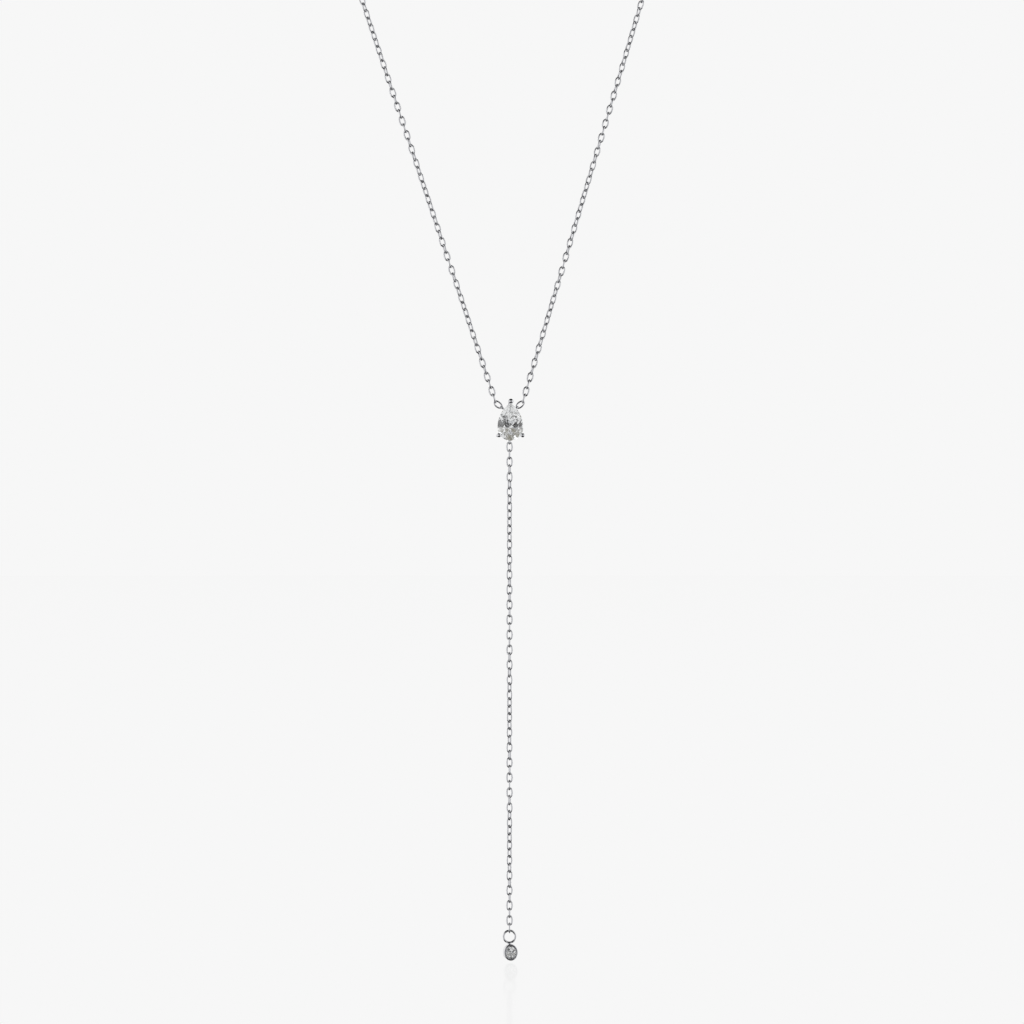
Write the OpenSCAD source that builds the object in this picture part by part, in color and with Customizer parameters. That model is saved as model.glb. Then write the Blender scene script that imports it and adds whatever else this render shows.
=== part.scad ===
// Y necklace: a fine cable chain whose two arms meet at a pear stone in a claw setting,
// with a chain hanging from the setting and a small oval stone in a bezel at its end.
// The necklace faces -Y, +Z is up, and the origin is the middle of the clasp at the nape.

/* [Pear stone] */
// Width of the pear stone across its round end
pear_w = 4.2; // [3.8:0.1:5.2]
// Length of the pear stone from its round end to its point
pear_l = 6; // [5.4:0.1:7.4]
// Height of the crown above the girdle
pear_crown = 0.65; // [0.4:0.05:0.9]
// Depth of the pavilion below the girdle
pear_pavilion = 1.8; // [1.4:0.1:2.4]
// Thickness of the girdle
pear_girdle = 0.12; // [0.06:0.02:0.3]

/* [Claw setting] */
// Diameter of the two pear-shaped gallery wires
gallery_wire = 0.36; // [0.3:0.02:0.5]
// Diameter of the claw wires
claw_wire = 0.44; // [0.36:0.02:0.6]
// Diameter of the ball on each of the two lower claws
claw_ball = 0.68; // [0.6:0.02:0.9]
// Diameter of the ball on the claw at the stone's point
tip_ball = 0.84; // [0.6:0.02:1]
// Direction of the lower claws below the horizontal, from the middle of the round end
claw_heading = 33; // [20:1:50]
// Clearance between the claws and the stone
claw_gap = 0.04; // [0.02:0.01:0.08]
// Diameter of the wire of the small soldered loops
loop_wire = 0.24; // [0.2:0.02:0.3]
// Diameter of the small soldered loops, at the middle of their wire
loop_d = 0.8; // [0.74:0.02:1]

/* [Connector links] */
// Length of the connector link, over all
connector_l = 1.75; // [1.6:0.05:2.4]
// Width of the connector link, over all
connector_w = 1.06; // [1:0.02:1.4]
// Diameter of the connector link's wire
connector_wire = 0.24; // [0.2:0.02:0.28]
// Angle of the connector link from the vertical
connector_turn = 52; // [44:1:60]

/* [Chain] */
// Width across the cable chain, which is round where its links cross
chain_d = 1.08; // [0.9:0.02:1.4]
// Angle by which each arm spreads from the vertical
arm_splay = 17.8; // [15:0.2:21]
// Angle by which each arm leans back from the vertical
arm_lean = 4.9; // [3:0.1:7]
// Height of the straight part of each arm
arm_rise = 84; // [76:1:90]
// Height of the nape above the middle of the pear stone's round end
nape_above_stone = 126; // [120:1:132]
// Distance of the nape behind the plane in which the drop hangs
nape_behind_stone = 98; // [92:1:104]

/* [Clasp] */
// Outer diameter of the clasp's ring
clasp_d = 5.3; // [4.6:0.1:7]
// Diameter of the clasp ring's wire
clasp_wire = 0.9; // [0.8:0.05:1.2]
// Diameter of the clasp's end loops, at the middle of their wire
end_loop_d = 1.1; // [0.9:0.05:1.4]
// Diameter of the end loops' wire
end_loop_wire = 0.3; // [0.24:0.02:0.4]

/* [Drop] */
// Depth of the drop ring's middle below the middle of the pear stone's round end
drop_l = 81.45; // [60:0.05:100]
// Outer diameter of the drop ring
ring_d = 2.19; // [1.8:0.01:3]
// Diameter of the drop ring's wire
ring_wire = 0.27; // [0.24:0.01:0.4]
// Width of the bezel's rim, over all
bezel_w = 2.22; // [1.9:0.02:3.2]
// Height of the bezel's rim, over all
bezel_h = 2.6; // [2.3:0.02:3.6]
// Depth of the bezel from its rim to its back
bezel_depth = 1.5; // [1.3:0.05:2.2]
// Width of the metal of the bezel's rim
bezel_rim = 0.3; // [0.2:0.01:0.36]
// Distance from the bezel's rim back to the plane of the drop ring
rim_to_ring = 1.25; // [1:0.05:1.35]
// Clearance round the drop stone
drop_gap = 0.03; // [0.02:0.01:0.06]

/* [Hidden] */
$fn = 48;

// Hand-chosen points of the right half of the chain, from the end of its straight part
// round the neck to the nape. The left half is its mirror.
NAPE_ROUTE = [[36, -82, -20], [43, -66, -9], [46, -45, -3], [40, -23, 0], [24, -7, 1]];
// Gaps between the ends of the chains and what they hang from
CHAIN_GAP = 0.15;
// Play between two links that pull on each other
LINK_PLAY = 0.03;
// Bend of the gallery wires at the stone's point, at the middle of the wire
TIP_BEND = 0.3;
// How much thicker the metal is where two wires are soldered
SOLDER = 0.08;
// Number of sides of the chain's envelope
SIDES = 8;
// Rings of the envelope in each stretch between two route points
STRETCH_RINGS = 5;
// Rings of the envelope in the straight part of an arm
ARM_RINGS = 4;

// Facet rows of a brilliant. Each facet plane passes over two lines parallel to the girdle:
// the first at a share of the outline and a share of the height, the second likewise.
// Columns: outline share, height share, outline share, height share
CROWN_MAIN = [0.98, 0, 0.56, 1];
CROWN_HALF = [0.99, 0, 0.75, 0.675];
CROWN_STAR = [0.8, 0.53, 0.53, 1];
PAVILION_MAIN = [0.98, 0, 0.03, 1];
PAVILION_HALF = [0.99, 0, 0.2, 0.83];
// Headings of the main facets of the pear stone, from its widest point towards its point
PEAR_HEADINGS = [-90, -45, 5, 38, 90, 142, 175, 225];
// Headings of the main facets of the drop stone
OVAL_HEADINGS = [0, 45, 90, 135, 180, 225, 270, 315];
FACET_BLOCK = 30;

// The pear outline is a half circle and two side arcs that meet at the point.
pear_r = pear_w / 2;
pear_tip = pear_l - pear_r;
side_offset = (pear_tip * pear_tip - pear_r * pear_r) / (2 * pear_r);
side_r = pear_r + side_offset;
tip_heading = atan2(pear_tip, side_offset);

// The gallery wires' outlines, as shares of the stone's
upper_share = 0.85;
lower_share = 0.42;
// Height of the stone's girdle above the upper gallery wire, and of its culet above the
// lower one
girdle_rise = 0.6;
culet_gap = 0.1;
// Places of a claw's knee and ball, below, above and outside the girdle
knee_drop = 0.3;
knee_out = claw_wire / 2 + claw_gap + 0.06;
ball_rise = 0.4;
ball_out = 0.2;
// Depths in the setting, measured forward from the plane of the upper gallery wire
girdle_z = girdle_rise + pear_girdle / 2;
lower_z = girdle_z - pear_pavilion - culet_gap;
knee_z = girdle_z - knee_drop;
ball_z = girdle_z + ball_rise;
// Heading of the shoulder loops on the upper gallery wire's side arcs, how far their wire
// runs into it, and their distance behind its plane
shoulder_heading = 43.4;
shoulder_lap = 0.14;
shoulder_back = 0.25;

// The right shoulder loop stands on the gallery wire, and the connector link hangs in it
loop_r = loop_d / 2;
shoulder_reach = upper_share * side_r + (gallery_wire + loop_wire) / 2 - shoulder_lap + loop_r;
shoulder_at = [
    shoulder_reach * cos(shoulder_heading) - upper_share * side_offset,
    shoulder_back,
    shoulder_reach * sin(shoulder_heading)
];
connector_dir = [sin(connector_turn), 0, cos(connector_turn)];
connector_reach = (connector_l - connector_wire) / 2;
connector_at = shoulder_at + connector_dir
    * (loop_r - loop_wire / 2 - connector_wire / 2 - LINK_PLAY + connector_reach);
arm_at = connector_at + connector_dir * (connector_reach - connector_wire);

stone_at = [0, -nape_behind_stone, -nape_above_stone];
arm_start = stone_at + arm_at;
arm_step = [tan(arm_splay), tan(arm_lean), 1];
arm_dir = arm_step / norm(arm_step);
arm_turn = arm_start + arm_step * arm_rise;
arm_clear = connector_wire + chain_d / 2 * cos(connector_turn) + CHAIN_GAP;

clasp_r = (clasp_d - clasp_wire) / 2;
end_loop_x = clasp_r + clasp_wire / 2 + end_loop_d / 2 - end_loop_wire / 3;
chain_end = [end_loop_x + end_loop_d / 2 + end_loop_wire / 2 + CHAIN_GAP, 0, 0];

bottom_loop_z = -(upper_share * pear_r + loop_r + loop_wire / 6);
ring_r = (ring_d - ring_wire) / 2;
ring_at = stone_at + [0, 0, -drop_l];
drop_top = stone_at + [0, 0, bottom_loop_z - loop_r - loop_wire / 2 - CHAIN_GAP];
drop_bottom = ring_at + [0, 0, ring_d / 2 + CHAIN_GAP];

// The bezel hangs just under the drop ring, with the solder between them
bezel_at = ring_at + [0, -rim_to_ring, -(ring_d + bezel_h) / 2 - SOLDER];
bezel_squeeze = bezel_w / bezel_h;
bezel_mouth = bezel_h / 2 - bezel_rim;
// Depths in the bezel, measured back from its rim
table_depth = 0.1;
drop_crown = 0.28;
drop_girdle = 0.08;
drop_pavilion = 0.75;
girdle_depth = table_depth + drop_crown + drop_girdle / 2;
ledge_depth = girdle_depth + drop_girdle / 2 + 2 * drop_gap;
oval_h = bezel_mouth - drop_gap;
oval_w = oval_h * bezel_squeeze;

// Distance of the tangent at a heading from the middle of the pear's round end
function pear_reach(heading) =
    sin(heading) <= 0 ? pear_r
    : abs(cos(heading)) > cos(tip_heading) ? side_r - side_offset * abs(cos(heading))
    : pear_tip * sin(heading);

// Distance of the tangent at a heading from the middle of the drop stone
function oval_reach(heading) = norm([oval_w * cos(heading), oval_h * sin(heading)]);

// The headings at a share of the way from each one in a list to the next
function between(list, share) = [
    for (i = [0:len(list) - 1])
        list[i] + share * (i + 1 < len(list) ? list[i + 1] - list[i] : list[0] + 360 - list[i])
];

// A point of the pear outline at a heading of its arcs
function pear_point(heading) =
    sin(heading) <= 0 ? pear_r * [cos(heading), sin(heading)]
    : [
        sign(cos(heading)) * (side_r * abs(cos(heading)) - side_offset),
        side_r * sin(heading)
    ];

// A smooth curve from a to b that leaves with tangent u and arrives with tangent v
function smooth(a, b, u, v, t) =
    (2 * t ^ 3 - 3 * t ^ 2 + 1) * a + (t ^ 3 - 2 * t ^ 2 + t) * u
    + (3 * t ^ 2 - 2 * t ^ 3) * b + (t ^ 3 - t ^ 2) * v;

// The route of the right half: straight from the connector, then round to the nape
turns = concat([arm_turn], NAPE_ROUTE, [chain_end]);
last_turn = len(turns) - 1;
function tangent(i) =
    i == 0 ? arm_dir * norm(turns[1] - turns[0])
    : i == last_turn ? [-1, 0, 0] * norm(turns[i] - turns[i - 1])
    : (turns[i + 1] - turns[i - 1]) / 2;
arm_bottom = arm_start + arm_dir * arm_clear;
right_route = concat(
    [for (k = [0:ARM_RINGS - 1]) arm_bottom + (arm_turn - arm_bottom) * k / ARM_RINGS],
    [arm_turn],
    [
        for (i = [0:last_turn - 1]) for (k = [1:STRETCH_RINGS])
            smooth(turns[i], turns[i + 1], tangent(i), tangent(i + 1), k / STRETCH_RINGS)
    ]
);
left_route = [for (p = right_route) [-p.x, p.y, p.z]];

function direction(route, i) =
    let (v = route[min(i + 1, len(route) - 1)] - route[max(i - 1, 0)]) v / norm(v);

// Two directions across each point of a route, carried along it without twist
function across(route, i, last) =
    let (
        d = direction(route, i),
        flat = last - (last * d) * d,
        side = flat / norm(flat),
        rest = i + 1 < len(route) ? across(route, i + 1, side) : []
    ) concat([[side, cross(d, side)]], rest);

// A tube of flat sides along a route, closed at both ends
module tube(route, d) {
    frames = across(route, 0, [0, 1, 0]);
    rings = len(route);
    points = [
        for (i = [0:rings - 1]) for (k = [0:SIDES - 1])
            route[i] + d / 2 * (
                cos(360 * k / SIDES) * frames[i][0] + sin(360 * k / SIDES) * frames[i][1]
            )
    ];
    walls = [
        for (i = [0:rings - 2]) for (k = [0:SIDES - 1])
            let (a = i * SIDES, b = a + SIDES, n = (k + 1) % SIDES)
                [a + k, b + k, b + n, a + n]
    ];
    first_end = [for (k = [0:SIDES - 1]) k];
    last_end = [for (k = [SIDES - 1:-1:0]) (rings - 1) * SIDES + k];
    polyhedron(points, concat(walls, [first_end], [last_end]), convexity = 10);
}

// A straight round wire between two points
module rod(a, b, d) {
    v = b - a;
    translate(a)
        rotate([0, acos(v.z / norm(v)), atan2(v.y, v.x)])
            cylinder(h = norm(v), d = d);
}

// A ring of round wire about Z
module wire_ring(r, wire) {
    rotate_extrude() translate([r, 0]) circle(d = wire);
}

// Distance of a gallery wire's tight bend from the middle of the round end
function bend_at(share) = sqrt((share * side_r - TIP_BEND) ^ 2 - (share * side_offset) ^ 2);

// A pear-shaped ring of round wire, its outline a share of the stone's. The side arcs run
// on into a tight, slightly thicker bend at the point.
module pear_wire(share, wire) {
    bend_y = bend_at(share);
    bend_heading = atan2(bend_y, share * side_offset);
    lap = 8;
    rotate([0, 0, 180])
        rotate_extrude(angle = 180) translate([share * pear_r, 0]) circle(d = wire);
    for (side = [0, 1]) mirror([side, 0, 0])
        translate([-share * side_offset, 0, 0])
            rotate_extrude(angle = bend_heading) translate([share * side_r, 0]) circle(d = wire);
    translate([0, bend_y, 0]) rotate([0, 0, bend_heading - lap])
        rotate_extrude(angle = 180 - 2 * bend_heading + 2 * lap)
            translate([TIP_BEND, 0]) circle(d = wire + SOLDER);
}

// The half space below a facet plane, which passes the two lines of its row
module facet(heading, reach, row, height, base) {
    rise = (row[3] - row[1]) * height;
    run = (row[0] - row[2]) * reach;
    rotate([0, 0, heading])
        translate([row[0] * reach, 0, base + row[1] * height])
            rotate([0, atan2(rise, run), 0])
                translate([-FACET_BLOCK / 2, -FACET_BLOCK / 2, -FACET_BLOCK])
                    cube(FACET_BLOCK);
}

// The space that all the facets of one row leave
module facet_row(lines, row, height, base) {
    intersection_for (line = lines) facet(line[0], line[1], row, height, base);
}

// A brilliant with its table at +Z and the middle of its girdle at the origin.
// A line holds a facet's heading and its tangent's distance from the middle.
module brilliant(mains, halves, stars, outline, crown, pavilion, girdle) {
    intersection() {
        translate([0, 0, -girdle / 2 - pavilion])
            linear_extrude(height = girdle + pavilion + crown) polygon(outline);
        facet_row(mains, CROWN_MAIN, crown, girdle / 2);
        facet_row(halves, CROWN_HALF, crown, girdle / 2);
        facet_row(stars, CROWN_STAR, crown, girdle / 2);
        mirror([0, 0, 1]) facet_row(mains, PAVILION_MAIN, pavilion, girdle / 2);
        mirror([0, 0, 1]) facet_row(halves, PAVILION_HALF, pavilion, girdle / 2);
    }
}

// Puts what is modelled with its front at +Z into the necklace, facing -Y
module facing_front(at) {
    translate(at) rotate([90, 0, 0]) children();
}

module pear_stone() {
    arc_steps = 13;
    outline = concat(
        [for (k = [0:2 * arc_steps]) pear_point(180 + 180 * k / (2 * arc_steps))],
        [for (k = [1:arc_steps]) pear_point(tip_heading * k / arc_steps)],
        [for (k = [arc_steps - 1:-1:1]) pear_point(180 - tip_heading * k / arc_steps)]
    );
    halves = concat(between(PEAR_HEADINGS, 0.25), between(PEAR_HEADINGS, 0.75));
    color([0.9, 0.92, 0.93, 0.6])
        facing_front(stone_at)
            translate([0, 0, girdle_z])
                brilliant(
                    [for (h = PEAR_HEADINGS) [h, pear_reach(h)]],
                    [for (h = halves) [h, pear_reach(h)]],
                    [for (h = between(PEAR_HEADINGS, 0.5)) [h, pear_reach(h)]],
                    outline, pear_crown, pear_pavilion, pear_girdle
                );
}

// A claw in the plane of its heading: up from its foot on the lower gallery wire, out past
// the girdle and over its edge to a ball. Its edge is the stone's outline at that heading.
module claw(heading, foot_out, edge, ball) {
    foot = [foot_out, 0, lower_z];
    knee = [edge + knee_out, 0, knee_z];
    tip = [edge + ball_out + (ball - claw_ball) / 2, 0, ball_z];
    rotate([0, 0, heading]) {
        for (joint = [foot, knee]) translate(joint) sphere(d = claw_wire + SOLDER);
        rod(foot, knee, claw_wire);
        rod(knee, tip, claw_wire);
        translate(tip) sphere(d = ball);
    }
}

module claw_setting() {
    color("silver") {
        facing_front(stone_at) {
            pear_wire(upper_share, gallery_wire);
            translate([0, 0, lower_z]) pear_wire(lower_share, gallery_wire);
            for (heading = [-claw_heading, 180 + claw_heading])
                claw(heading, lower_share * pear_r, pear_r, claw_ball);
            claw(90, bend_at(lower_share) + TIP_BEND, pear_tip, tip_ball);
        }
        for (side = [0, 1]) mirror([side, 0, 0])
            translate(stone_at + shoulder_at)
                rotate([0, connector_turn - 90, 0]) wire_ring(loop_r, loop_wire);
        translate(stone_at + [0, 0, bottom_loop_z])
            rotate([0, 90, 0]) wire_ring(loop_r, loop_wire);
    }
}

// An oval link of round wire, its length along Z and its opening along Y
module oval_link(l, w, wire) {
    end_r = (w - wire) / 2;
    half = (l - w) / 2;
    for (end = [0, 180]) rotate([0, end, 0]) translate([0, 0, half])
        rotate([90, 0, 0]) rotate_extrude(angle = 180) translate([end_r, 0]) circle(d = wire);
    for (side = [-1, 1]) translate([side * end_r, 0, -half]) cylinder(h = 2 * half, d = wire);
}

module connector_link_right() {
    color("silver")
        translate(stone_at + connector_at)
            rotate([0, connector_turn, 0]) oval_link(connector_l, connector_w, connector_wire);
}

module connector_link_left() {
    mirror([1, 0, 0]) connector_link_right();
}

module chain_right() {
    color("silver") tube(right_route, chain_d);
}

module chain_left() {
    color("silver") tube(left_route, chain_d);
}

// A plain ring with a small loop soldered to each side
module clasp() {
    color("silver") {
        rotate([90, 0, 0]) wire_ring(clasp_r, clasp_wire);
        for (side = [-1, 1]) translate([side * end_loop_x, 0, 0])
            wire_ring(end_loop_d / 2, end_loop_wire);
    }
}

module drop_chain() {
    color("silver") tube([drop_top, drop_bottom], chain_d);
}

// An oval cup with a slightly wider rim and a ledge for the stone, and the ring soldered on
module drop_bezel() {
    rim_r = bezel_h / 2;
    back_r = rim_r - 0.06;
    rim_depth = 0.4;
    taper = 0.3;
    floor_t = 0.15;
    floor_r = 0.3;
    ledge = 0.06;
    color("silver") {
        facing_front(bezel_at) scale([bezel_squeeze, 1, 1]) difference() {
            union() {
                translate([0, 0, -rim_depth]) cylinder(r = rim_r, h = rim_depth);
                translate([0, 0, -rim_depth - taper]) cylinder(r1 = back_r, r2 = rim_r, h = taper);
                translate([0, 0, -bezel_depth])
                    cylinder(r = back_r, h = bezel_depth - rim_depth - taper);
            }
            translate([0, 0, -ledge_depth]) cylinder(r = bezel_mouth, h = 2 * ledge_depth);
            translate([0, 0, floor_t - bezel_depth])
                cylinder(r1 = floor_r, r2 = bezel_mouth - ledge, h = bezel_depth - floor_t - ledge_depth);
        }
        translate(ring_at) rotate([90, 0, 0]) wire_ring(ring_r, ring_wire);
        translate(ring_at - [0, 0, (ring_d + SOLDER) / 2]) sphere(d = ring_wire + SOLDER);
    }
}

module drop_stone() {
    outline_steps = 48;
    outline = [
        for (k = [0:outline_steps - 1])
            [oval_w * cos(360 * k / outline_steps), oval_h * sin(360 * k / outline_steps)]
    ];
    halves = concat(between(OVAL_HEADINGS, 0.25), between(OVAL_HEADINGS, 0.75));
    color([0.8, 0.82, 0.84, 0.6])
        facing_front(bezel_at)
            translate([0, 0, -girdle_depth])
                brilliant(
                    [for (h = OVAL_HEADINGS) [h, oval_reach(h)]],
                    [for (h = halves) [h, oval_reach(h)]],
                    [for (h = between(OVAL_HEADINGS, 0.5)) [h, oval_reach(h)]],
                    outline, drop_crown, drop_pavilion, drop_girdle
                );
}

pear_stone();
claw_setting();
connector_link_left();
connector_link_right();
chain_left();
chain_right();
clasp();
drop_chain();
drop_bezel();
drop_stone();
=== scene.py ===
"""Y necklace of rhodium-plated silver with clear stones, shown hanging.

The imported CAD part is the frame. Its stones stay, and the pieces of metal are modelled again
with their solder, rounded edges and single chain links. The necklace faces -Y and +Z is up.
Pieces are modelled in millimetres and are turned to metres when they are finished.
"""
from math import atan2, cos, degrees, hypot, pi, radians, sin, tan

import bpy
from mathutils import Matrix, Quaternion, Vector


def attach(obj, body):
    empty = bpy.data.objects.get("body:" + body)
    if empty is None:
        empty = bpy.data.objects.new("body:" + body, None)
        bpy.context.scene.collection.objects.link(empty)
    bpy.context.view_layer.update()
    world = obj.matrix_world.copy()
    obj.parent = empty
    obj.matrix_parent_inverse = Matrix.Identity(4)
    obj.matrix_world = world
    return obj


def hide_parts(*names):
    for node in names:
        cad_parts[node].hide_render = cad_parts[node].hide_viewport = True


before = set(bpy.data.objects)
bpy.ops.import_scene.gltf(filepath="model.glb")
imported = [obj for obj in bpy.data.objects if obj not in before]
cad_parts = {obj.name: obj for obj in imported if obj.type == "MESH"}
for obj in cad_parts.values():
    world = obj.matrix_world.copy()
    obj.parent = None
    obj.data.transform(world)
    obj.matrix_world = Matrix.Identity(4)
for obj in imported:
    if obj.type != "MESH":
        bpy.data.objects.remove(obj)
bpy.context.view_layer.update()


# Pear stone: a colourless cubic zirconia, cut as a pear brilliant on a lapping machine and
# polished with fine diamond grit. It is set point up, and three claws hold it by its girdle.
MM = 0.001


def srgb(code):
    """The linear colour of an sRGB hex code, with full alpha."""
    parts = [int(code[i:i + 2], 16) / 255 for i in (1, 3, 5)]
    return tuple(p / 12.92 if p <= 0.04045 else ((p + 0.055) / 1.055) ** 2.4 for p in parts) + (1,)


def add_node(tree, kind, inputs=(), **settings):
    """Adds a node with its settings, and sets each input to a value or links it to a socket."""
    node = tree.nodes.new(kind)
    for name, value in settings.items():
        setattr(node, name, value)
    for name, value in dict(inputs).items():
        if isinstance(value, bpy.types.NodeSocket):
            tree.links.new(value, node.inputs[name])
        else:
            node.inputs[name].default_value = value
    return node


def cut_zirconia(name, lap_mm):
    """Lapped and polished cubic zirconia: clear, with hard bright facets that break up what is
    behind them. Lap marks a few micrometres wide are drawn lap_mm wide so that they show."""
    material = bpy.data.materials.new(name)
    material.use_nodes = True
    tree = material.node_tree
    body = tree.nodes["Principled BSDF"]
    place = add_node(tree, "ShaderNodeTexCoord")
    lap = add_node(tree, "ShaderNodeTexNoise", {
        "Vector": place.outputs["Object"], "Scale": 1 / (lap_mm * MM), "Detail": 3.0, "Roughness": 0.6,
    })
    haze = add_node(tree, "ShaderNodeMapRange", {
        "Value": lap.outputs["Fac"], "From Min": 0.35, "From Max": 0.75, "To Min": 0.0, "To Max": 0.05,
    })
    tint = add_node(tree, "ShaderNodeMix", {
        "Factor": lap.outputs["Fac"], "A": srgb("#fdfefe"), "B": srgb("#f3f5f6"),
    }, data_type="RGBA")
    relief = add_node(tree, "ShaderNodeBump", {
        "Height": lap.outputs["Fac"], "Strength": 0.06, "Distance": 0.004 * MM,
    })
    body.inputs["Transmission Weight"].default_value = 1.0
    body.inputs["IOR"].default_value = 2.15
    tree.links.new(tint.outputs["Result"], body.inputs["Base Color"])
    tree.links.new(haze.outputs["Result"], body.inputs["Roughness"])
    tree.links.new(relief.outputs["Normal"], body.inputs["Normal"])
    return material


pear_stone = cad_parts["pear_stone"]
pear_stone.material_slots[0].material = cut_zirconia("pear_cut_zirconia", 0.25)


# Claw setting: two pear-shaped gallery wires, three claws and three small loops of round silver
# wire, soldered together, tumbled and rhodium plated. The claws' ends are melted to balls.

# Centre of the stone's round end, level with the upper gallery wire
ROUND_END = Vector((0, -98, -126))
PEAR_R = 2.1
PEAR_POINT = 3.9
# Centre and radius of the arcs of the stone's two long sides
SIDE_OFFSET = (PEAR_POINT ** 2 - PEAR_R ** 2) / (2 * PEAR_R)
SIDE_R = PEAR_R + SIDE_OFFSET
GIRDLE_FORWARD = 0.66
GALLERY_WIRE = 0.36
UPPER_SHARE = 0.85
LOWER_SHARE = 0.42
LOWER_BACK = 1.24
TIP_BEND = 0.3
CLAW_WIRE = 0.44
CLAW_CLEAR = 0.1
KNEE_BACK = 0.3
BALL_OUT = 0.2
BALL_FORWARD = 0.4
SIDE_BALL = 0.68
POINT_BALL = 0.84
LOOP_WIRE = 0.24
LOOP_R = 0.4
CONNECTOR_TURN = radians(52)
SHOULDER = Vector((1.106, 0.25, 3.113))
BOTTOM_LOOP_DOWN = 2.225


def select_only(*shapes):
    """Selects these objects and no other. The last one is active."""
    bpy.ops.object.select_all(action="DESELECT")
    for shape in shapes:
        shape.select_set(True)
        bpy.context.view_layer.objects.active = shape


def edit(shape, test):
    """Opens a shape in edit mode with the points that pass a test of their place selected."""
    select_only(shape)
    for point in shape.data.vertices:
        point.select = test(point.co)
    picked = [point.select for point in shape.data.vertices]
    for part in [*shape.data.edges, *shape.data.polygons]:
        part.select = all(picked[i] for i in part.vertices)
    bpy.ops.object.mode_set(mode="EDIT")


def join(name, shapes):
    """Joins shapes into one object with its place in its mesh."""
    select_only(*shapes)
    bpy.ops.object.join()
    bpy.ops.object.transform_apply(location=True, rotation=True, scale=True)
    whole = bpy.context.active_object
    whole.name = whole.data.name = name
    return whole


def solder(shape, voxel, passes):
    """Runs joined wires together into one skin, with the fillets that solder leaves."""
    select_only(shape)
    for kind, settings in (
        ("REMESH", {"mode": "VOXEL", "voxel_size": voxel}),
        ("SMOOTH", {"factor": 0.5, "iterations": passes}),
    ):
        step = shape.modifiers.new(kind, kind)
        for name, value in settings.items():
            setattr(step, name, value)
        bpy.ops.object.modifier_apply(modifier=step.name)


def hang(shape, finish, node, crease=35):
    """Turns a piece from millimetres to metres, gives it its finish, and hides the CAD node that it stands
    in for.
    """
    select_only(shape)
    shape.scale = (MM, MM, MM)
    bpy.ops.object.transform_apply(location=False, rotation=False, scale=True)
    bpy.ops.object.shade_smooth_by_angle(angle=radians(crease))
    shape.data.materials.clear()
    shape.data.materials.append(finish)
    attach(shape, "root")
    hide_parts(node)


def plated_silver(name, light, dark, smooth, worn, grain_mm, relief_mm):
    """Rhodium over polished silver: a cool grey mirror that is black where the room is dark.
    Tumbling leaves soft clouds and pits of a few micrometres, drawn grain_mm wide to show."""
    material = bpy.data.materials.new(name)
    material.use_nodes = True
    tree = material.node_tree
    body = tree.nodes["Principled BSDF"]
    place = add_node(tree, "ShaderNodeTexCoord")
    cloud = add_node(tree, "ShaderNodeTexNoise", {
        "Vector": place.outputs["Object"], "Scale": 1 / (6 * grain_mm * MM), "Detail": 2.0,
    })
    grain = add_node(tree, "ShaderNodeTexNoise", {
        "Vector": place.outputs["Object"], "Scale": 1 / (grain_mm * MM), "Detail": 4.0, "Roughness": 0.65,
    })
    tone = add_node(tree, "ShaderNodeMix", {
        "Factor": cloud.outputs["Fac"], "A": srgb(light), "B": srgb(dark),
    }, data_type="RGBA")
    wear = add_node(tree, "ShaderNodeMapRange", {
        "Value": grain.outputs["Fac"], "From Min": 0.3, "From Max": 0.75, "To Min": smooth, "To Max": worn,
    })
    pits = add_node(tree, "ShaderNodeBump", {
        "Height": grain.outputs["Fac"], "Strength": 0.3, "Distance": relief_mm * MM,
    })
    body.inputs["Metallic"].default_value = 1.0
    tree.links.new(tone.outputs["Result"], body.inputs["Base Color"])
    tree.links.new(wear.outputs["Result"], body.inputs["Roughness"])
    tree.links.new(pits.outputs["Normal"], body.inputs["Normal"])
    return material


def gallery_wire(share, back):
    """One pear-shaped ring of round wire: a wire section spun round the outline's four arcs."""
    level = ROUND_END.y + back
    bend_up = ((share * SIDE_R - TIP_BEND) ** 2 - (share * SIDE_OFFSET) ** 2) ** 0.5
    bend = atan2(bend_up, share * SIDE_OFFSET)
    bpy.ops.mesh.primitive_circle_add(
        vertices=20, radius=GALLERY_WIRE / 2, location=(share * PEAR_R, level, ROUND_END.z))
    wire = bpy.context.active_object
    bpy.ops.object.transform_apply(location=True)
    edit(wire, lambda place: True)
    for turn, x, up, steps in (
        (pi, 0, 0, 28),
        (bend, share * SIDE_OFFSET, 0, 14),
        (pi - 2 * bend, 0, bend_up, 8),
        (bend, -share * SIDE_OFFSET, 0, 14),
    ):
        bpy.ops.mesh.spin(
            steps=steps, angle=turn, center=(x, level, ROUND_END.z + up), axis=(0, 1, 0))
    bpy.ops.mesh.select_all(action="SELECT")
    bpy.ops.mesh.remove_doubles(threshold=0.002)
    bpy.ops.mesh.normals_make_consistent(inside=False)
    bpy.ops.object.mode_set(mode="OBJECT")
    return wire


def leg(start, end, wire):
    """A straight piece of round wire with rounded ends, between two points."""
    way = end - start
    bpy.ops.mesh.primitive_cylinder_add(
        vertices=24, radius=wire / 2, depth=way.length, location=(start + end) / 2,
        rotation=way.to_track_quat("Z", "Y").to_euler())
    rod = bpy.context.active_object
    edit(rod, lambda place: True)
    bpy.ops.mesh.bevel(offset=wire * 0.2, segments=3, affect="EDGES")
    bpy.ops.object.mode_set(mode="OBJECT")
    return rod


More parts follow.
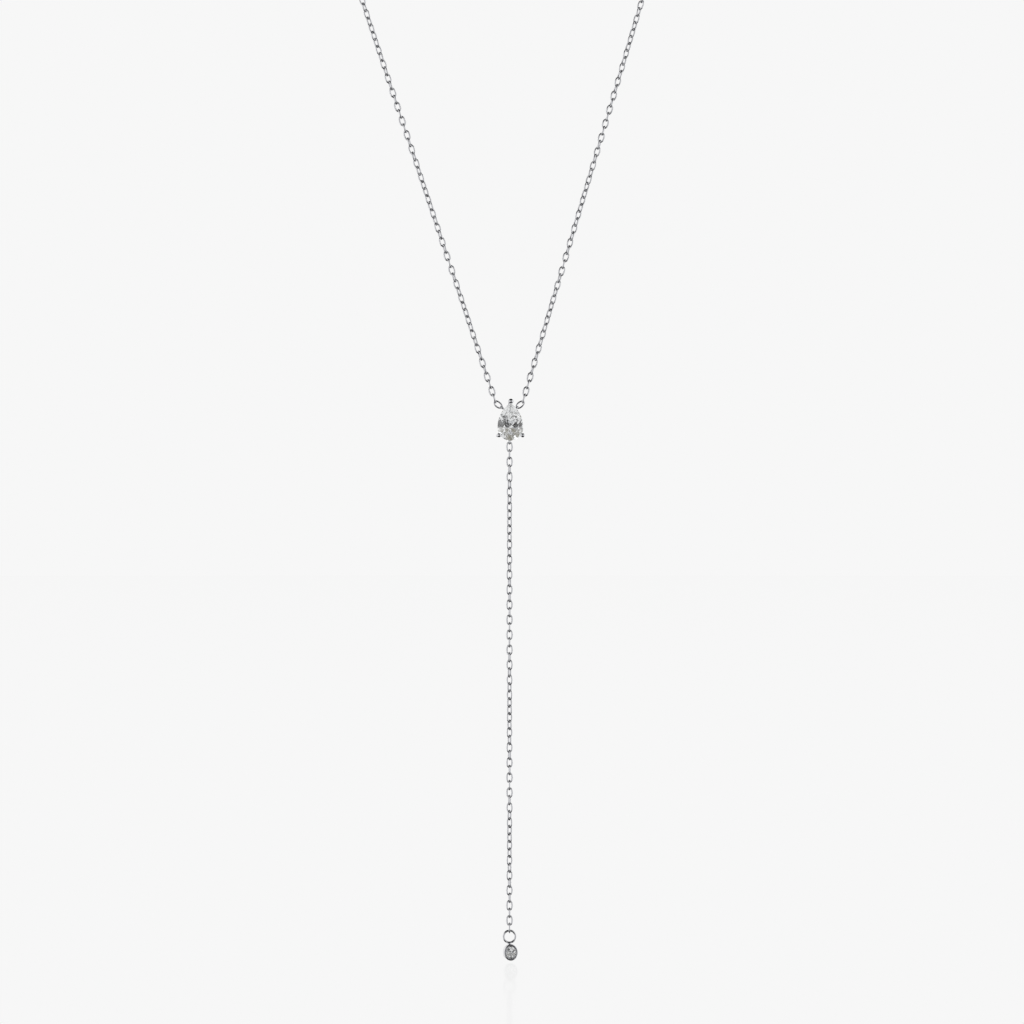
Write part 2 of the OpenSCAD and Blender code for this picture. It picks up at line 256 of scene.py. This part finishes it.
def claw(heading, foot_out, edge, ball):
    """A claw: from the lower gallery wire out past the girdle, then over it to its ball."""
    out = Vector((cos(heading), 0, sin(heading)))
    front = Vector((0, -1, 0))
    foot = ROUND_END + out * foot_out - front * LOWER_BACK
    knee = ROUND_END + out * (edge + CLAW_WIRE / 2 + CLAW_CLEAR) + front * (GIRDLE_FORWARD - KNEE_BACK)
    tip_out = edge + BALL_OUT + (ball - SIDE_BALL) / 2
    tip = ROUND_END + out * tip_out + front * (GIRDLE_FORWARD + BALL_FORWARD)
    shapes = [leg(foot, knee, CLAW_WIRE), leg(knee, tip, CLAW_WIRE)]
    # Solder at the foot, a rounded bend at the knee, and the melted end
    for place, size in ((foot, CLAW_WIRE + 0.1), (knee, CLAW_WIRE + 0.04), (tip, ball)):
        bpy.ops.mesh.primitive_uv_sphere_add(
            segments=32, ring_count=16, radius=size / 2, location=place)
        shapes.append(bpy.context.active_object)
    return shapes


def loop(place, radius, wire, turn):
    """A small closed ring of round wire."""
    bpy.ops.mesh.primitive_torus_add(
        major_radius=radius, minor_radius=wire / 2, major_segments=48, minor_segments=16,
        location=place, rotation=turn)
    return bpy.context.active_object


soldered_silver = plated_silver("plated_silver_soldered", "#e4e4e6", "#cfd0d3", 0.04, 0.13, 0.12, 0.002)
lower_bend_up = ((LOWER_SHARE * SIDE_R - TIP_BEND) ** 2 - (LOWER_SHARE * SIDE_OFFSET) ** 2) ** 0.5
setting_parts = [
    gallery_wire(UPPER_SHARE, 0),
    gallery_wire(LOWER_SHARE, LOWER_BACK),
    *claw(radians(-33), LOWER_SHARE * PEAR_R, PEAR_R, SIDE_BALL),
    *claw(radians(213), LOWER_SHARE * PEAR_R, PEAR_R, SIDE_BALL),
    *claw(radians(90), lower_bend_up + TIP_BEND, PEAR_POINT, POINT_BALL),
    loop(ROUND_END + SHOULDER, LOOP_R, LOOP_WIRE, (0, CONNECTOR_TURN - pi / 2, 0)),
    loop(ROUND_END + Vector((-SHOULDER.x, SHOULDER.y, SHOULDER.z)), LOOP_R, LOOP_WIRE,
         (0, pi / 2 - CONNECTOR_TURN, 0)),
    loop(ROUND_END - Vector((0, 0, BOTTOM_LOOP_DOWN)), LOOP_R, LOOP_WIRE, (0, pi / 2, 0)),
]
claw_setting = join("claw_setting_soldered", setting_parts)
solder(claw_setting, 0.035, 3)
hang(claw_setting, soldered_silver, "claw_setting")


# Connector links: the first link of each arm, a slim oval of round silver wire that is closed
# through the setting's shoulder loop and laser welded. The chain pulls it out to the side.
CONNECTOR_LENGTH = 1.75
CONNECTOR_WIDTH = 1.06
CONNECTOR_WIRE = 0.24
CONNECTOR_CLEAR = 0.03


def oval_link(length, width, wire, around, across, fullness):
    """An oval ring of round wire, upright and seen face on: a torus whose sections are pulled
    apart. A fullness under 1 straightens the oval's sides."""
    bpy.ops.mesh.primitive_torus_add(
        major_radius=(width - wire) / 2, minor_radius=wire / 2, major_segments=around,
        minor_segments=across, rotation=(pi / 2, 0, 0))
    link = bpy.context.active_object
    bpy.ops.object.transform_apply(rotation=True)
    for number in range(around // 4, 0, -1):
        angle = 2 * pi * number / around
        pull = (length - width) / 2 * sin(angle) ** fullness
        for side in (1, -1):
            edit(link, lambda place: abs(atan2(side * place.z, abs(place.x)) - angle) < 0.02)
            bpy.ops.transform.translate(value=(0, 0, side * pull))
            bpy.ops.object.mode_set(mode="OBJECT")
    return link


silver_wire = plated_silver("plated_silver_drawn_wire", "#e2e2e4", "#cdced1", 0.06, 0.18, 0.08, 0.001)
# From the middle of the shoulder loop to the middle of the link that hangs in it
reach = LOOP_R - LOOP_WIRE / 2 - CONNECTOR_WIRE / 2 - CONNECTOR_CLEAR
reach += (CONNECTOR_LENGTH - CONNECTOR_WIRE) / 2
for side, name in ((1, "right"), (-1, "left")):
    connector = oval_link(CONNECTOR_LENGTH, CONNECTOR_WIDTH, CONNECTOR_WIRE, 40, 16, 1.0)
    outward = Vector((sin(CONNECTOR_TURN), 0, cos(CONNECTOR_TURN)))
    middle = SHOULDER + outward * reach
    connector.data.transform(
        Matrix.Translation(ROUND_END + Vector((side * middle.x, middle.y, middle.z)))
        @ Matrix.Rotation(side * CONNECTOR_TURN, 4, "Y"))
    connector.name = connector.data.name = "connector_" + name + "_welded"
    hang(connector, silver_wire, "connector_link_" + name)


# Chain arms: fine cable chain of oval links, bent from 0.28 mm silver wire by a chain machine,
# each a quarter turn from the last, soldered and plated. The whole chain also turns slowly.
LINK_LENGTH = 1.76
LINK_WIDTH = 1.12
LINK_WIRE = 0.28
PITCH = 1.2
CAMERA_TURN = radians(12)
# The arms rise straight at first, leaning out and back
ARM_OUT = radians(17.8)
ARM_BACK = radians(4.9)
ARM_RISE = 84
NAPE_TURNS = ((36, -82, -20), (43, -66, -9), (46, -45, -3), (40, -23, 0), (24, -7, 1))
# Place of the last link's end in the clasp's loop
CHAIN_END = (3.36, 0, 0)
# Turn of the chain in degrees by link, counted from 1. At 0 the even links face the camera.
ARM_TURNS = (
    (1, -4), (2, 0), (13.3, 45), (18.7, 74), (21.5, 106), (30.4, 135), (40.1, 180), (52.4, 225))
DEGREES_PER_LINK = 4.3


def chain_route(side):
    """Points along one arm, 0.05 mm apart or less: straight up from the connector, then round
    the neck on a smooth curve to the clasp."""
    step = Vector((side * tan(ARM_OUT), tan(ARM_BACK), 1))
    outward = Vector((sin(CONNECTOR_TURN), 0, cos(CONNECTOR_TURN)))
    start = SHOULDER + outward * (reach + CONNECTOR_LENGTH / 2 - CONNECTOR_WIRE - LINK_WIRE / 2)
    start = ROUND_END + Vector((side * start.x, start.y, start.z))
    turns = [start + step * ARM_RISE]
    turns += [Vector((side * x, y, z)) for x, y, z in (*NAPE_TURNS, CHAIN_END)]
    ways = [step.normalized() * (turns[1] - turns[0]).length]
    ways += [(after - before) / 2 for before, after in zip(turns, turns[2:])]
    ways += [Vector((-side, 0, 0)) * (turns[-1] - turns[-2]).length]
    points = [start.lerp(turns[0], k / 2000) for k in range(2000)]
    for a, b, u, v in zip(turns, turns[1:], ways, ways[1:]):
        for k in range(800):
            t = k / 800
            points.append(
                (2 * t ** 3 - 3 * t ** 2 + 1) * a + (t ** 3 - 2 * t ** 2 + t) * u
                + (3 * t ** 2 - 2 * t ** 3) * b + (t ** 3 - t ** 2) * v)
    return points + [turns[-1]]


def link_places(points, faces, count):
    """Middle, direction and untwisted width direction of each of count links along a route."""
    way = (points[1] - points[0]).normalized()
    width = way.cross(faces).normalized()
    lengths = [0]
    sides = [(way, width)]
    for a, b in zip(points, points[1:]):
        lengths.append(lengths[-1] + (b - a).length)
        way = (b - a).normalized()
        width = (width - width.dot(way) * way).normalized()
        sides.append((way, width))
    half = (LINK_LENGTH - LINK_WIRE) / 2
    pitch = (lengths[-1] - 2 * half) / (count - 1)
    places = []
    spot = 0
    for number in range(count):
        target = half + pitch * number
        while lengths[spot + 1] < target:
            spot += 1
        share = (target - lengths[spot]) / (lengths[spot + 1] - lengths[spot])
        places.append((points[spot].lerp(points[spot + 1], share), *sides[spot + 1]))
    return places


def turn_at(table, number):
    """The chain's slow turn at a link, in degrees, between the readings of a table."""
    for (n, turn), (m, next_turn) in zip(table, table[1:]):
        if number <= m:
            return turn + (next_turn - turn) * (number - n) / (m - n)
    return table[-1][1]


def lay_links(name, places, turns, finish, node):
    """Copies one link along its places, each a quarter turn from the last, as one piece."""
    # Twelve sections with six sides, because there are hundreds of links
    link = oval_link(LINK_LENGTH, LINK_WIDTH, LINK_WIRE, 12, 6, 0.55)
    copies = []
    for number, (middle, way, width) in enumerate(places):
        across = Quaternion(way, radians(turns[number] + 90 * (number % 2))) @ width
        axes = Matrix((across, way.cross(across), way)).transposed().to_4x4()
        copy = link.copy()
        copy.data = link.data.copy()
        copy.data.transform(Matrix.Translation(middle) @ axes)
        bpy.context.collection.objects.link(copy)
        copies.append(copy)
    bpy.data.objects.remove(link)
    hang(join(name, copies), finish, node, crease=180)


silver_chain = plated_silver("plated_silver_cable_chain", "#eaeaec", "#d2d3d6", 0.08, 0.22, 0.08, 0.001)
toward_camera = Vector((-sin(CAMERA_TURN), -cos(CAMERA_TURN), 0))
for side, name in ((1, "right"), (-1, "left")):
    route = chain_route(side)
    route_length = sum((b - a).length for a, b in zip(route, route[1:]))
    links = round((route_length - LINK_LENGTH + LINK_WIRE) / PITCH) + 1
    places = link_places(route, toward_camera, links)
    # The last link stands upright in the clasp's flat end loop
    _, way, width = places[-1]
    upright = degrees(width.angle(Vector((0, 0, 1))))
    if width.cross(Vector((0, 0, 1))).dot(way) < 0:
        upright = -upright
    free = ARM_TURNS[-1][1] + DEGREES_PER_LINK * (links - ARM_TURNS[-1][0])
    last_turn = upright - 90 - 90 * ((links - 1) % 2)
    last_turn += 180 * round((free - last_turn) / 180)
    table = (*ARM_TURNS, (links, last_turn))
    turns = [turn_at(table, number + 1) + 90 for number in range(links)]
    lay_links("chain_" + name + "_links", places, turns, silver_chain, "chain_" + name)


# Clasp: a plain ring of thick wire at the nape, with a small end loop soldered to each side for
# the chain's last links. It isn't in view from the front.
CLASP_R = 2.2
CLASP_WIRE = 0.9
END_LOOP_OUT = 3.1
END_LOOP_R = 0.55
END_LOOP_WIRE = 0.3

clasp = join("clasp_soldered", [
    loop((0, 0, 0), CLASP_R, CLASP_WIRE, (pi / 2, 0, 0)),
    loop((END_LOOP_OUT, 0, 0), END_LOOP_R, END_LOOP_WIRE, (0, 0, 0)),
    loop((-END_LOOP_OUT, 0, 0), END_LOOP_R, END_LOOP_WIRE, (0, 0, 0)),
])
solder(clasp, 0.05, 3)
hang(clasp, soldered_silver, "clasp")


# Drop chain: the same cable chain, hanging free from the setting's bottom loop to the drop
# ring, and turning slowly on its way down.
DROP_LINKS = 65
DROP_TOP = -2.36
DROP_BOTTOM = -80.8
# Turn in degrees by link, counted from 0. At 0 the first link faces the camera.
DROP_TURNS = ((0, 0), (9.5, 45), (25, 90), (34.8, 135), (45, 180), (51.3, 225), (63, 270), (64, 270))

drop_route = [ROUND_END + Vector((0, 0, DROP_TOP)), ROUND_END + Vector((0, 0, DROP_BOTTOM))]
drop_places = link_places(drop_route, toward_camera, DROP_LINKS)
drop_turns = [turn_at(DROP_TURNS, number) for number in range(DROP_LINKS)]
lay_links("drop_chain_links", drop_places, drop_turns, silver_chain, "drop_chain")


# Drop ring and bezel: a small oval cup turned from silver, whose wider rim is burnished over
# the stone's edge, and a jump ring soldered to its top. Both are polished and plated. The stone
# in the cup is a small oval cubic zirconia.
RING_AT = ROUND_END - Vector((0, 0, 81.45))
RING_R = 0.96
RING_WIRE = 0.32
BEZEL_AT = RING_AT + Vector((0, -1.25, -2.475))
BEZEL_R = 1.3
BEZEL_BACK_R = 1.24
BEZEL_DEPTH = 1.5
RIM_WIDTH = 0.3
# Width of the oval as a share of its height
SQUEEZE = 0.8538


def off_axis(place):
    """How far a point of the cup, while it is still round, lies from its axis."""
    return hypot(place.x, place.z - BEZEL_AT.z)


bpy.ops.mesh.primitive_cylinder_add(
    vertices=72, radius=BEZEL_R, depth=BEZEL_DEPTH, rotation=(pi / 2, 0, 0),
    location=BEZEL_AT + Vector((0, BEZEL_DEPTH / 2, 0)))
cup = bpy.context.active_object
bpy.ops.object.transform_apply(location=True, rotation=True)
edit(cup, lambda place: place.y < BEZEL_AT.y + 0.01)
bpy.ops.mesh.inset(thickness=RIM_WIDTH)
# The inside: a straight wall down to the stone, a narrow seat, and a cone behind the stone
for depth, width in ((0.52, 1.0), (0.0, 0.94), (0.83, 0.3 / 0.94)):
    bpy.ops.mesh.extrude_region_move(TRANSFORM_OT_translate={"value": (0, depth, 0)})
    bpy.ops.transform.resize(value=(width, 1, width), center_override=BEZEL_AT)
bpy.ops.object.mode_set(mode="OBJECT")
# The outside narrows behind the rim
for depth in (0.4, 0.7):
    edit(cup, lambda place: True)
    bpy.ops.mesh.bisect(plane_co=BEZEL_AT + Vector((0, depth, 0)), plane_no=(0, 1, 0))
    bpy.ops.object.mode_set(mode="OBJECT")
edit(cup, lambda place: place.y > BEZEL_AT.y + 0.65 and off_axis(place) > 1.2)
narrow = BEZEL_BACK_R / BEZEL_R
bpy.ops.transform.resize(value=(narrow, 1, narrow), center_override=BEZEL_AT)
bpy.ops.object.mode_set(mode="OBJECT")
# The rim's two edges and the back edge are rounded
for test, offset in (
    (lambda place: place.y < BEZEL_AT.y + 0.01 and off_axis(place) > 1.25, 0.1),
    (lambda place: place.y < BEZEL_AT.y + 0.01 and off_axis(place) < 1.05, 0.06),
    (lambda place: place.y > BEZEL_AT.y + 1.49 and off_axis(place) > 1.2, 0.14),
):
    edit(cup, test)
    bpy.ops.mesh.bevel(offset=offset, segments=4, affect="EDGES")
    bpy.ops.object.mode_set(mode="OBJECT")
edit(cup, lambda place: True)
bpy.ops.transform.resize(value=(SQUEEZE, 1, 1), center_override=BEZEL_AT)
bpy.ops.mesh.normals_make_consistent(inside=False)
bpy.ops.object.mode_set(mode="OBJECT")
drop_ring = loop(RING_AT, RING_R, RING_WIRE, (pi / 2, 0, 0))
# A bead of solder joins the ring and the cup
bpy.ops.mesh.primitive_uv_sphere_add(
    segments=32, ring_count=16, radius=0.175, location=RING_AT - Vector((0, 0, 1.135)))
bead = bpy.context.active_object
bead.scale = (1.5, 1.1, 0.9)
silver_cup = plated_silver("plated_silver_turned_cup", "#e2e2e4", "#cecfd2", 0.05, 0.14, 0.1, 0.0015)
hang(join("drop_bezel_burnished", [cup, drop_ring, bead]), silver_cup, "drop_bezel")
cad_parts["drop_stone"].material_slots[0].material = cut_zirconia("oval_cut_zirconia", 0.15)


# Floor: a sheet of white acrylic just under the drop. It shines evenly, as the backdrop does,
# and its polish mirrors the end of the drop faintly.
FLOOR_Z = -211.44
PALE = srgb("#f7f7f7")

bpy.ops.mesh.primitive_circle_add(
    vertices=96, radius=6, fill_type="NGON", location=(0, 0, FLOOR_Z * MM))
floor = bpy.context.active_object
floor.name = "floor"
acrylic = bpy.data.materials.new("white_acrylic_sheet")
acrylic.use_nodes = True
acrylic.node_tree.nodes.clear()
glow = add_node(acrylic.node_tree, "ShaderNodeEmission", {"Color": PALE, "Strength": 1.0})
shine = add_node(acrylic.node_tree, "ShaderNodeBsdfGlossy", {"Color": (1, 1, 1, 1), "Roughness": 0.07})
both = add_node(acrylic.node_tree, "ShaderNodeMixShader", {"Fac": 0.08})
acrylic.node_tree.links.new(glow.outputs["Emission"], both.inputs[1])
acrylic.node_tree.links.new(shine.outputs["BSDF"], both.inputs[2])
add_node(acrylic.node_tree, "ShaderNodeOutputMaterial", {"Surface": both.outputs["Shader"]})
floor.data.materials.append(acrylic)
floor.visible_glossy = False
floor.visible_transmission = False
floor.visible_diffuse = False


# Light: a product tent in front of a lit backdrop. The polished metal mirrors a softbox on each
# side and a dark room between them. The stones are lit as in a second exposure, in a white tent
# that is dark at the front, because they gather light from all round.
world = bpy.data.worlds.new("studio")
bpy.context.scene.world = world
world.use_nodes = True
tree = world.node_tree
tree.nodes.clear()
place = add_node(tree, "ShaderNodeTexCoord")
heading = place.outputs["Generated"]
parts = add_node(tree, "ShaderNodeSeparateXYZ", {"Vector": heading})


def fade(value, start, end):
    """Rises softly from 0 to 1 between two values, or falls where start is the greater."""
    low, high = sorted((start, end))
    ends = (0.0, 1.0) if start < end else (1.0, 0.0)
    return add_node(tree, "ShaderNodeMapRange", {
        "Value": value, "From Min": low, "From Max": high, "To Min": ends[0], "To Max": ends[1],
    }, interpolation_type="SMOOTHSTEP").outputs["Result"]


def blend(share, under, over):
    """One colour over another by a share."""
    return add_node(tree, "ShaderNodeMix", {
        "Factor": share, "A": under, "B": over,
    }, data_type="RGBA").outputs["Result"]


def combine(a, b):
    """The share that two shares leave together."""
    return add_node(tree, "ShaderNodeMath", {0: a, 1: b}, operation="MULTIPLY").outputs["Value"]


to_right = parts.outputs["X"]
to_back = parts.outputs["Y"]
across = add_node(tree, "ShaderNodeMath", {0: to_right}, operation="ABSOLUTE").outputs["Value"]
upright = add_node(tree, "ShaderNodeMath", {0: parts.outputs["Z"]}, operation="ABSOLUTE").outputs["Value"]
# The room that the metal mirrors: dark, with softboxes at the sides, the lit backdrop, and a
# grey card beside the lens, just where the bezel's flat rim mirrors it
softboxes = combine(fade(across, 0.27, 0.48), fade(upright, 0.7, 0.35))
camera_side = combine(fade(to_back, -0.8, -0.95), fade(upright, 0.5, 0.2))
metal_room = blend(camera_side, srgb("#121213"), srgb("#2e2e30"))
metal_room = blend(softboxes, metal_room, srgb("#fafafb"))
card = add_node(tree, "ShaderNodeVectorMath", {
    0: heading, 1: (0.21, -0.98, 0.0),
}, operation="DOT_PRODUCT").outputs["Value"]
metal_room = blend(fade(card, 0.98, 0.99), metal_room, srgb("#727274"))
metal_room = blend(fade(to_back, 0.82, 0.92), metal_room, PALE)
# The tent that the stones gather: white, but for its front, which from below to above is
# black, bright at the height of the lens, grey, and a warm grey. The lens is dark.
rise = add_node(tree, "ShaderNodeMapRange", {"Value": parts.outputs["Z"], "From Min": -1.0})
tent = add_node(tree, "ShaderNodeValToRGB", {"Fac": rise.outputs["Result"]})
tent.color_ramp.elements[0].color = srgb("#3c3c3e")
tent.color_ramp.elements[1].color = srgb("#94928a")
for z, shade in (
    (-0.6, "#161617"), (-0.19, "#161617"), (-0.16, "#f4f4f4"), (0.08, "#f4f4f4"), (0.11, "#b0b0b0"),
    (0.2, "#949494"), (0.33, "#a0a09e"), (0.36, "#b8b6b0"), (0.68, "#8a8678"),
):
    stop = tent.color_ramp.elements.new((z + 1) / 2)
    stop.color = srgb(shade)
lens = add_node(tree, "ShaderNodeVectorMath", {
    0: heading, 1: (0.1, -0.99, 0.0),
}, operation="DOT_PRODUCT").outputs["Value"]
front = combine(fade(to_right, -0.66, -0.5), fade(to_right, 0.46, 0.3))
front = combine(front, fade(to_back, 0.05, -0.2))
stone_room = blend(front, srgb("#f2f2f2"), tent.outputs["Color"])
stone_room = blend(fade(lens, 0.985, 0.995), stone_room, srgb("#3a3a3c"))
path = add_node(tree, "ShaderNodeLightPath")
seen = blend(path.outputs["Is Transmission Ray"], metal_room, stone_room)
seen = blend(path.outputs["Is Camera Ray"], seen, PALE)
studio = add_node(tree, "ShaderNodeBackground", {"Color": seen, "Strength": 1.0})
add_node(tree, "ShaderNodeOutputWorld", {"Surface": studio.outputs["Background"]})

subject = (ROUND_END - Vector((0, 0, 40))) * MM
for name, place, size, power in (
    ("high_right", (0.6, -0.6, 0.6), (0.4, 0.4), 0.45),
    ("high_left", (-0.7, -0.5, 0.55), (0.4, 0.4), 0.3),
):
    bpy.ops.object.light_add(type="AREA", location=subject + Vector(place))
    box = bpy.context.active_object
    box.name = name
    box.data.shape = "RECTANGLE"
    box.data.size, box.data.size_y = size
    box.data.energy = power
    box.rotation_euler = (-Vector(place)).to_track_quat("-Z", "Y").to_euler()
    box.visible_camera = False


# Camera: a long lens a metre away and 12 degrees to the left, level with the upper part of the
# drop. The picture is 163.84 mm wide where the stones are.
CAMERA_AWAY = 1000
PICTURE_WIDTH = 163.84
SENSOR_WIDTH = 36

middle = ROUND_END + Vector((0.40 * cos(CAMERA_TURN), -0.40 * sin(CAMERA_TURN), -13.52))
bpy.ops.object.camera_add(
    location=(middle + toward_camera * CAMERA_AWAY) * MM,
    rotation=(-toward_camera).to_track_quat("-Z", "Y").to_euler())
camera = bpy.context.active_object
camera.data.sensor_width = SENSOR_WIDTH
camera.data.lens = SENSOR_WIDTH * CAMERA_AWAY / PICTURE_WIDTH
camera.data.clip_start = 0.05
camera.data.clip_end = 50
bpy.context.scene.camera = camera
bpy.context.scene.view_settings.view_transform = "Standard"
# Light turns many times inside a brilliant before it comes out
for kind in ("max_bounces", "glossy_bounces", "transmission_bounces"):
    setattr(bpy.context.scene.cycles, kind, 32)
